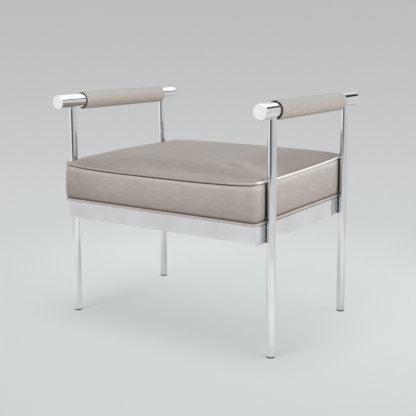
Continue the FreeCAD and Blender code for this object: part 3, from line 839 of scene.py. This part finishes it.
stitch = {"step": 0.0052, "length": 0.0034, "radius": 0.00042, "rings": 7, "around": 6, "rise": 0.0005,
          "dip": 0.0002, "taper": 0.55, "end": 0.01, "rowTurn": 0.11, "sink": 0.0001}


def stitchPoint(share, turn):
    # a short thread, sunk at both ends
    bow = math.sin(math.pi * share)
    size = stitch["radius"] * (stitch["taper"] + (1 - stitch["taper"]) * bow)
    lift = bow * stitch["rise"] - stitch["dip"]
    return Vector(((share - 0.5) * stitch["length"], size * math.cos(turn), lift + size * math.sin(turn)))


stitchShares = [ring / (stitch["rings"] - 1) for ring in range(stitch["rings"])]
stitchMesh = loft("stitch", stitchShares, stitch["around"], stitchPoint)
stitchTree = seatTree("sleeveStitches", stitchMesh, threadMaterial)


def makeSleeveStitches(side, length, onBar):
    # two rows beside the seam under the sleeve
    spots = []
    for row in (-1, 1):
        turn = sleeve["seamTurn"] + row * stitch["rowTurn"]
        facing = Vector((math.cos(turn), 0, math.sin(turn)))
        for step in range(int((length - 2 * stitch["end"]) / stitch["step"])):
            along = stitch["end"] + stitch["step"] * (step + 0.5)
            spots.append((onBar(along, sleeve["radius"] - stitch["sink"], turn), facing, Vector((0, 1, 0))))
    seatParts(f"{side}SleeveStitches", spots, stitchTree, threadMaterial, f"{side}_sleeve", "upholstery")


for side, sign in sides:
    makeSleeve(side, sign)
print("sleeves made")


# small steel parts; a ring gives the radius and height of a turned part at each turn

def turnedMesh(name, rings, around):
    def spot(ring, turn):
        radius, height = ring(turn)
        return Vector((radius * math.cos(turn), radius * math.sin(turn), height))
    return loft(name, rings, around, spot)


def roundRing(radius, height):
    return lambda turn: (radius, height)


def hexRing(flats, height):
    return lambda turn: (flats / 2 / math.cos(turn % (math.pi / 3) - math.pi / 6), height)


def crossRing(arm, waist, height):
    def ring(turn):
        part = min(1.0, abs((turn + math.pi / 4) % (math.pi / 2) - math.pi / 4) / screw["armTurn"])
        return max(waist, arm * (1 - part ** 2 * (1 - waist / arm))), height
    return ring


def domeRings(part, steps=6):
    # a rounded head from its rim up to its flat
    flat, rim = part["flat"], part["rim"]
    leans = [math.pi / 2 * step / steps for step in range(1, steps)]
    return [roundRing(part["head"] * (flat + (1 - flat) * math.cos(lean)),
                      rim + (part["height"] - rim) * math.sin(lean)) for lean in leans]


# radius and height of each step of the stem, and width over flats and height down the socket
bolt = {"stem": [(0.0024, -0.018), (0.003, -0.0172), (0.003, -0.0001), (0.00505, 0.0), (0.00525, 0.0003),
                 (0.00525, 0.0009)], "head": 0.00525, "rim": 0.0009, "height": 0.0033, "flat": 0.56,
        "socket": [(0.0046, 0.0033), (0.004, 0.0029), (0.004, 0.0012)], "drill": (0.0003, 0.0008),
        "around": 36, "spread": 0.022, "middle": 0.3035, "seatX": 0.2957, "lie": (0.94, 0.34)}


def makeBolts():
    rings = [roundRing(*size) for size in bolt["stem"]] + domeRings(bolt)
    rings += [hexRing(*size) for size in bolt["socket"]] + [roundRing(*bolt["drill"])]
    tree = seatTree("apronBolts", turnedMesh("bolt", rings, bolt["around"]), zinc)
    lieY, lieZ = bolt["lie"]
    spots = []
    for name, sx, sy in corners:
        for sz in (-1, 1):
            place = Vector((sx * bolt["seatX"], sy * legY, bolt["middle"] + sz * bolt["spread"] / 2))
            spots.append((place, Vector((-sx, 0, 0)), Vector((0, lieY, lieZ * sz))))
    seatParts("apronBolts", spots, tree, zinc, "frame", "zinc_steel", ("leg_bolts",))


# as the bolt; the thread is its root and crest, and the recess the reach and waist of its arms and the height
screw = {"tip": [(0.0004, -0.016), (0.002, -0.012)], "thread": (0.0019, 0.0024), "threadStart": -0.012,
         "threadStep": 0.0005, "threadRings": 22, "neck": [(0.002, -0.0001), (0.0042, 0.0), (0.0045, 0.0004)],
         "head": 0.0045, "rim": 0.0004, "height": 0.0026, "flat": 0.55, "armTurn": 0.30,
         "recess": [(0.0021, 0.0006, 0.0026), (0.00189, 0.00054, 0.0023), (0.00105, 0.00036, 0.001)],
         "around": 40, "x": 0.2759, "y": 0.2140, "seat": 0.3230, "lie": (0.8, 0.6)}


def makeSeatScrews():
    winds = [(screw["thread"][step % 2], screw["threadStart"] + step * screw["threadStep"])
             for step in range(screw["threadRings"])]
    rings = [roundRing(*size) for size in screw["tip"] + winds + screw["neck"]] + domeRings(screw)
    rings += [crossRing(*size) for size in screw["recess"]]
    tree = seatTree("seatScrews", turnedMesh("screw", rings, screw["around"]), zinc)
    lieX, lieY = screw["lie"]
    spots = [(Vector((sx * screw["x"], sy * screw["y"], screw["seat"])), Vector((0, 0, -1)),
              Vector((lieX * sx, lieY, 0))) for name, sx, sy in corners]
    seatParts("seatScrews", spots, tree, zinc, "frame", "zinc_steel", ("seat_screws",))


def labelOf(corner):
    first, second = corner.split("_")
    return first + second.capitalize()


thread = {"radius": 0.004, "root": 0.00345, "pitch": 0.00125, "around": 24, "perTurn": 6, "plain": 0.003,
          "plainShare": 0.6, "taper": 0.0012, "taperDepth": 0.0006}


def makeGlideThreads():
    for name, sx, sy in corners:
        low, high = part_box(f"{name}_glide_stem")
        centre = (low + high) / 2
        tall = high.z - low.z
        count = int(tall / thread["pitch"] * thread["perTurn"])

        def spot(z, turn):
            # a tooth that winds up the stem, plain at the foot and tapered at the tip
            tooth = 1 - abs(2 * ((z / thread["pitch"] - turn / fullTurn) % 1.0) - 1)
            share = thread["plainShare"] if z < thread["plain"] else tooth
            taper = min(1.0, (tall - z) / thread["taper"])
            size = min(thread["root"] + (thread["radius"] - thread["root"]) * share,
                       thread["root"] + thread["taperDepth"] * (2 * taper - 1))
            return Vector((centre.x + size * math.cos(turn), centre.y + size * math.sin(turn), low.z + z))

        label = labelOf(name) + "GlideThread"
        mesh = loft(label, [tall * ring / count for ring in range(count + 1)], thread["around"], spot)
        newPiece(label, mesh, zinc, f"{name}_glide", "zinc_steel", (f"{name}_glide_stem",))


bead = {"Radius": 0.0009, "Step": 0.0015, "Sides": 10}
beadPoints = 96


def makeBeads():
    # polished bead where each leg meets its bar
    tree = cordTree("legBead", bead, chrome)
    turns = [fullTurn * step / beadPoints for step in range(beadPoints)]
    for name, sx, sy in corners:
        line = []
        for turn in turns:
            dx, dy = legRadius * math.cos(turn), legRadius * math.sin(turn)
            under = math.sqrt(barRadius ** 2 - dx ** 2)
            line.append(Vector((sx * legX + dx, sy * legY + dy, barHeight - under)))
        runCord(labelOf(name) + "Bead", line, tree, chrome, "frame", "polished_steel")


# dust cover under the seat and its staples

dust = {"cellsX": 60, "cellsY": 50, "margin": 0.001, "gap": 0.0001, "thickness": 0.0007, "sag": 0.0016,
        "sagPower": 6, "sagShare": 0.75, "ripple": 0.5, "rippleScale": 3, "rippleSeed": 2.0, "rim": 0.062,
        "rimReach": 0.03, "cornerFrom": 0.9, "cornerCut": (1.2, 1.4)}


def makeDustCover():
    low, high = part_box("dust_cover")
    halfX, halfY, z = high.x - dust["margin"], high.y - dust["margin"], high.z - dust["gap"]
    nx, ny, scale = dust["cellsX"], dust["cellsY"], dust["rippleScale"]
    cutX, cutY = dust["cornerCut"]

    def offRim(half, share):
        return max(0.0, (half - abs(share) * half - dust["rim"]) / dust["rimReach"])

    def past(share):
        return max(0.0, abs(share) - dust["cornerFrom"])

    def spot(u, v):
        # the cloth sags inside its rim and is folded in at its corners
        inner = (1 - abs(u) ** dust["sagPower"]) * (1 - abs(v) ** dust["sagPower"])
        ripple = noise.noise(Vector((u * scale, v * scale, dust["rippleSeed"])))
        drop = dust["sag"] * inner * (dust["sagShare"] + dust["ripple"] * ripple)
        drop *= min(1.0, offRim(halfX, u) + offRim(halfY, v))
        corner = past(u) * past(v)
        return Vector((u * halfX * (1 - cutX * corner), v * halfY * (1 - cutY * corner), z - drop))

    points = [spot(2 * column / nx - 1, 2 * row / ny - 1)
              for row in range(ny + 1) for column in range(nx + 1)]
    grid = [range(row * (nx + 1), (row + 1) * (nx + 1)) for row in range(ny + 1)]
    mesh = meshFrom("dustSheet", points, gridFaces(grid))
    mesh = applied("dustSheet", mesh, "SOLIDIFY", thickness=dust["thickness"], offset=-1.0)
    piece = newPiece("dustSheet", outward(mesh), dustCloth, "frame", "dust_cloth", ("dust_cover",))
    makeStaples(halfX, halfY, z - dust["thickness"])


# the line is half a staple, from a leg's point to the crown; seeds are for the rows along X and along Y
staple = {"line": [(-0.0048, -0.0012), (-0.0048, -0.0001), (-0.0043, 0.00036)], "wire": 0.00045, "around": 6,
          "gap": 0.034, "insetX": 0.0145, "insetY": 0.0185, "end": 0.06, "lean": 0.25, "leanScale": 90,
          "seeds": ((5.0, 1.0), (7.0, 4.0))}


def staplePoint(ring, turn):
    # the wire's section lies flat on the legs and upright on the crown
    along, z = ring
    across, bulge = staple["wire"] * math.cos(turn), staple["wire"] * math.sin(turn)
    if z > 0:
        return Vector((along, across, z + bulge))
    return Vector((along - bulge if along > 0 else along + bulge, across, z))


def stapleRow(reach, seeds):
    # each staple's place along an edge and how far it leans
    count = int(2 * (reach - staple["end"]) / staple["gap"])
    for step in range(count):
        along = (step + 0.5 - count / 2) * staple["gap"]
        yield along, staple["lean"] * noise.noise(Vector((along * staple["leanScale"], *seeds)))


def makeStaples(halfX, halfY, z):
    line = staple["line"] + [(-along, height) for along, height in reversed(staple["line"])]
    tree = seatTree("dustStaples", loft("staple", line, staple["around"], staplePoint), zinc)
    reachX, reachY = halfX - staple["insetX"], halfY - staple["insetY"]
    (seedX, layerX), (seedY, layerY) = staple["seeds"]
    down = Vector((0, 0, -1))
    spots = []
    for sign in (-1, 1):
        for x, lean in stapleRow(reachX, (sign * seedX, layerX)):
            spots.append((Vector((x, sign * reachY, z)), down, Vector((1, lean, 0)).normalized()))
        for y, lean in stapleRow(reachY, (sign * seedY, layerY)):
            spots.append((Vector((sign * reachX, y, z)), down, Vector((lean, 1, 0)).normalized()))
    seatParts("dustStaples", spots, tree, zinc, "frame", "zinc_steel")


makeBolts()
makeSeatScrews()
makeGlideThreads()
makeBeads()
makeDustCover()
for part in patterns:
    bpy.data.objects.remove(part)
print("small parts made")


# floor, surroundings and lamps

# a pair is where a tone starts and ends, in metres; a ring is a distance from the middle of the floor
floorFinish = {
    "colour": (0.62, 0.626, 0.632), "speckShare": 0.985, "speck": (26.0, 4.0, 0.6), "radius": 3.4,
    "around": 96, "drop": 0.0004, "fadeRing": (1.7, 3.35), "mirrorShare": 0.8, "nearRing": (0.25, 0.65),
    "near": (0.86, 1.13), "farRing": (1.14, 1.34), "farChange": -0.22, "rearY": (-0.02, 0.35), "rear": 0.76,
    "backX": (0.4, 0.8), "backY": (0.4, 0.7), "back": 1.36, "rightX": (0.2, 0.6), "right": 1.07,
    "seenY": (-1.1, 0.7), "seenFront": (0.655, 0.690, 0.703), "seenRear": (0.925, 0.955, 0.965),
    "seenShare": 0.60, "shadowY": ((-0.36, -0.15), (-0.12, 0.30)), "shadowX": (0.24, 0.50), "shadow": 0.79,
    "seenRing": (0.60, 1.40), "seenFar": 0.83,
}


def bareMaterial(name):
    material = bpy.data.materials.new(name)
    material.use_nodes = True
    tree = material.node_tree
    tree.nodes.clear()
    return material, tree, Value(addNode(tree, "ShaderNodeTexCoord"), "Object")


def makeFloorPaint():
    finish = floorFinish
    material, tree, place = bareMaterial("paleFloor")
    x, y, z = place.axes()
    away = Value(addNode(tree, "ShaderNodeVectorMath", {0: place}, operation="LENGTH"), "Value")
    # polished metal sees the floor darker under the bench and behind it
    mirror = away.spread(*finish["nearRing"], *finish["near"])
    mirror = mirror + away.spread(*finish["farRing"], 0.0, finish["farChange"])
    backRight = x.spread(*finish["backX"]) * y.spread(*finish["backY"])
    mirror = mirror * y.spread(*finish["rearY"], 1.0, finish["rear"]) * backRight.mix(1.0, finish["back"])
    mirror = mirror * x.spread(*finish["rightX"], 1.0, finish["right"])
    glow = addNode(tree, "ShaderNodeEmission", {"Strength": mirror})
    # the bench's soft shadow lies along its front legs, and the floor falls off away from it
    shadow = y.band(*finish["shadowY"]) * abs(x).spread(*finish["shadowX"], 1.0, 0.0)
    dim = shadow.mix(1.0, finish["shadow"]) * away.spread(*finish["seenRing"], 1.0, finish["seenFar"])
    tone = blend(y.spread(*finish["seenY"]), finish["seenFront"], finish["seenRear"])
    pale = addNode(tree, "ShaderNodeEmission", {"Color": tone, "Strength": dim})
    dull = [finish["speckShare"] * channel for channel in finish["colour"]]
    paint = blend(grainNoise(place, *finish["speck"]), dull, finish["colour"])
    plain = addNode(tree, "ShaderNodeBsdfDiffuse", {"Color": paint})
    ray = addNode(tree, "ShaderNodeLightPath")
    seen = blendShader(Value(ray, "Is Camera Ray") * finish["seenShare"], plain, pale)
    lit = blendShader(Value(ray, "Is Glossy Ray") * finish["mirrorShare"], seen, glow)
    clear = addNode(tree, "ShaderNodeBsdfTransparent")
    addNode(tree, "ShaderNodeOutputMaterial", {0: blendShader(away.spread(*finish["fadeRing"]), lit, clear)})
    return material


def makeFloor():
    turns = [fullTurn * step / floorFinish["around"] for step in range(floorFinish["around"])]
    points = [Vector((math.cos(turn), math.sin(turn), 0)) * floorFinish["radius"] for turn in turns]
    mesh = meshFrom("studioFloor", points, [range(len(points))])
    mesh.materials.append(makeFloorPaint())
    floor = newObject("studioFloor", mesh)
    floor.location.z = -floorFinish["drop"]


# degrees up from the horizon, then degrees round from +X towards +Y; a pair is one soft edge
cards = {"key": (((26.5, 29.0), (70.0, 82.0)), ((8.0, 22.0), (112.0, 128.0))),
         "slit": (((17.0, 19.5), (25.5, 27.0)), ((15.0, 30.0), (88.0, 100.0))),
         "window": (((0.0, 4.0), (26.0, 33.0)), ((-35.0, -15.0), (58.0, 75.0)))}
sky = {"backUp": (-15.0, 5.0), "back": (0.64, 0.510), "wallUp": (-20.0, 25.0), "wall": (0.75, 0.90),
       "left": ((-165.0, -150.0), (-118.0, -108.0)), "leftLift": 0.36, "keyMirror": 1.1, "slitShade": 0.05,
       "dome": 0.19, "leanX": 0.09, "leanY": -0.054, "keySoft": 0.15, "windowSoft": 3.4,
       "fillUp": ((-4.0, 2.0), (20.0, 32.0)), "fillRear": (80.0, 105.0), "fillLeft": (-172.0, -150.0),
       "fillSoft": 1.7, "tone": (0.995, 1.0, 1.004)}


def makeWorld():
    world = bpy.data.worlds.new("studioWorld")
    scene.world = world
    world.use_nodes = True
    tree = world.node_tree
    tree.nodes.clear()
    x, y, z = Value(addNode(tree, "ShaderNodeTexCoord"), "Generated").axes()
    height = z.calc("ARCSINE").calc("DEGREES")
    bearing = y.calc("ARCTAN2", x).calc("DEGREES")
    # a large white card behind the bench, high on the right, a dark slit under it and a wide low window
    key, slit, window = (height.band(*cards[name][0]) * bearing.band(*cards[name][1])
                         for name in ("key", "slit", "window"))
    # what the camera sees behind the floor
    back = height.spread(*sky["backUp"], *sky["back"])
    # what polished metal sees: the card, the slit and a bright wall in front on the left
    room = height.spread(*sky["wallUp"], *sky["wall"]) + bearing.band(*sky["left"]) * sky["leftLift"]
    mirror = (room + key * sky["keyMirror"]) * slit.mix(1.0, sky["slitShade"])
    # soft light: a dome, brighter from the right and front, the card, the window, and a low fill from the
    # back and the left, on either side of the seam of the bearings
    behind = bearing.spread(*sky["fillRear"]) + bearing.spread(*sky["fillLeft"], 1.0, 0.0)
    fill = height.band(*sky["fillUp"]) * behind.calc("MINIMUM", 1.0)
    soft = x * sky["leanX"] + y * sky["leanY"] + sky["dome"] + key * sky["keySoft"]
    soft = soft + window * sky["windowSoft"] + fill * sky["fillSoft"]
    ray = addNode(tree, "ShaderNodeLightPath")
    light = Value(ray, "Is Camera Ray").mix(Value(ray, "Is Glossy Ray").mix(soft, mirror), back)
    tone = joinColour(*(light * share for share in sky["tone"]))
    addNode(tree, "ShaderNodeOutputWorld", {0: addNode(tree, "ShaderNodeBackground", {"Color": tone})})


flag = {"x": (-0.40, 1.9), "y": -1.55, "z": (0.155, 0.62), "shade": (0.05, 0.05, 0.05), "clearX": (0.0, 1.9),
        "leftEdge": (-0.40, -0.30), "lowEdge": (0.155, 0.225)}


def makeFlag():
    # a dark card in front of the bench, which only polished metal shows
    (left, right), (low, high) = flag["x"], flag["z"]
    points = [(x, flag["y"], z) for x, z in ((left, low), (right, low), (right, high), (left, high))]
    mesh = meshFrom("darkFlag", points, [(3, 2, 1, 0)])
    card = newObject("darkFlag", mesh)
    for way in ("camera", "diffuse", "shadow", "transmission", "volume_scatter"):
        setattr(card, "visible_" + way, False)
    material, tree, place = bareMaterial("flagCloth")
    x, y, z = place.axes()
    cover = x.spread(*flag["clearX"], 1.0, 0.0, "LINEAR") * x.spread(*flag["leftEdge"])
    cover = cover * z.spread(*flag["lowEdge"])
    dark = addNode(tree, "ShaderNodeEmission", {"Color": flag["shade"]})
    clear = addNode(tree, "ShaderNodeBsdfTransparent")
    addNode(tree, "ShaderNodeOutputMaterial", {0: blendShader(cover, clear, dark)})
    mesh.materials.append(material)


lamps = [
    {"name": "rightWindow", "place": (2.5, 0.25, 1.05), "aim": (0.1, 0.0, 0.42), "size": (0.9, 0.9),
     "watts": 8.0},
    {"name": "frontCard", "place": (-0.35, -2.7, 1.95), "aim": (0.0, 0.0, 0.38), "size": (1.8, 1.2),
     "watts": 50.0},
]


def makeLamps():
    for setting in lamps:
        light = bpy.data.lights.new(setting["name"], "AREA")
        light.shape = "RECTANGLE"
        light.size, light.size_y = setting["size"]
        light.energy = setting["watts"]
        lamp = newObject(setting["name"], light)
        lamp.location = setting["place"]
        aim = Vector(setting["aim"]) - Vector(setting["place"])
        lamp.rotation_euler = aim.to_track_quat("-Z", "Y").to_euler()


photoView = {"lens": 66.84, "sensor": 36.0, "azimuth": 34.107, "pitch": 8.713, "distance": 2.1316,
             "aimRight": -0.0007, "aimHeight": 0.4119, "roll": -0.264, "shift": -0.10}


def makeCamera():
    turn, tip = math.radians(photoView["azimuth"]), math.radians(photoView["pitch"])
    ahead = Vector((-math.sin(turn) * math.cos(tip), math.cos(turn) * math.cos(tip), -math.sin(tip)))
    right = Vector((math.cos(turn), math.sin(turn), 0))
    up = right.cross(ahead)
    aim = right * photoView["aimRight"] + Vector((0, 0, photoView["aimHeight"]))
    lens = bpy.data.cameras.new("photoCamera")
    lens.lens = photoView["lens"]
    lens.sensor_width = photoView["sensor"]
    lens.shift_y = photoView["shift"]
    camera = newObject("photoCamera", lens)
    facing = Matrix((right, up, -ahead)).transposed().to_4x4()
    rolled = facing @ Matrix.Rotation(math.radians(photoView["roll"]), 4, "Z")
    camera.matrix_world = Matrix.Translation(aim - ahead * photoView["distance"]) @ rolled
    scene.camera = camera


makeFloor()
makeFlag()
makeWorld()
makeLamps()
makeCamera()
scene.view_settings.view_transform = "Standard"
print("studio made")
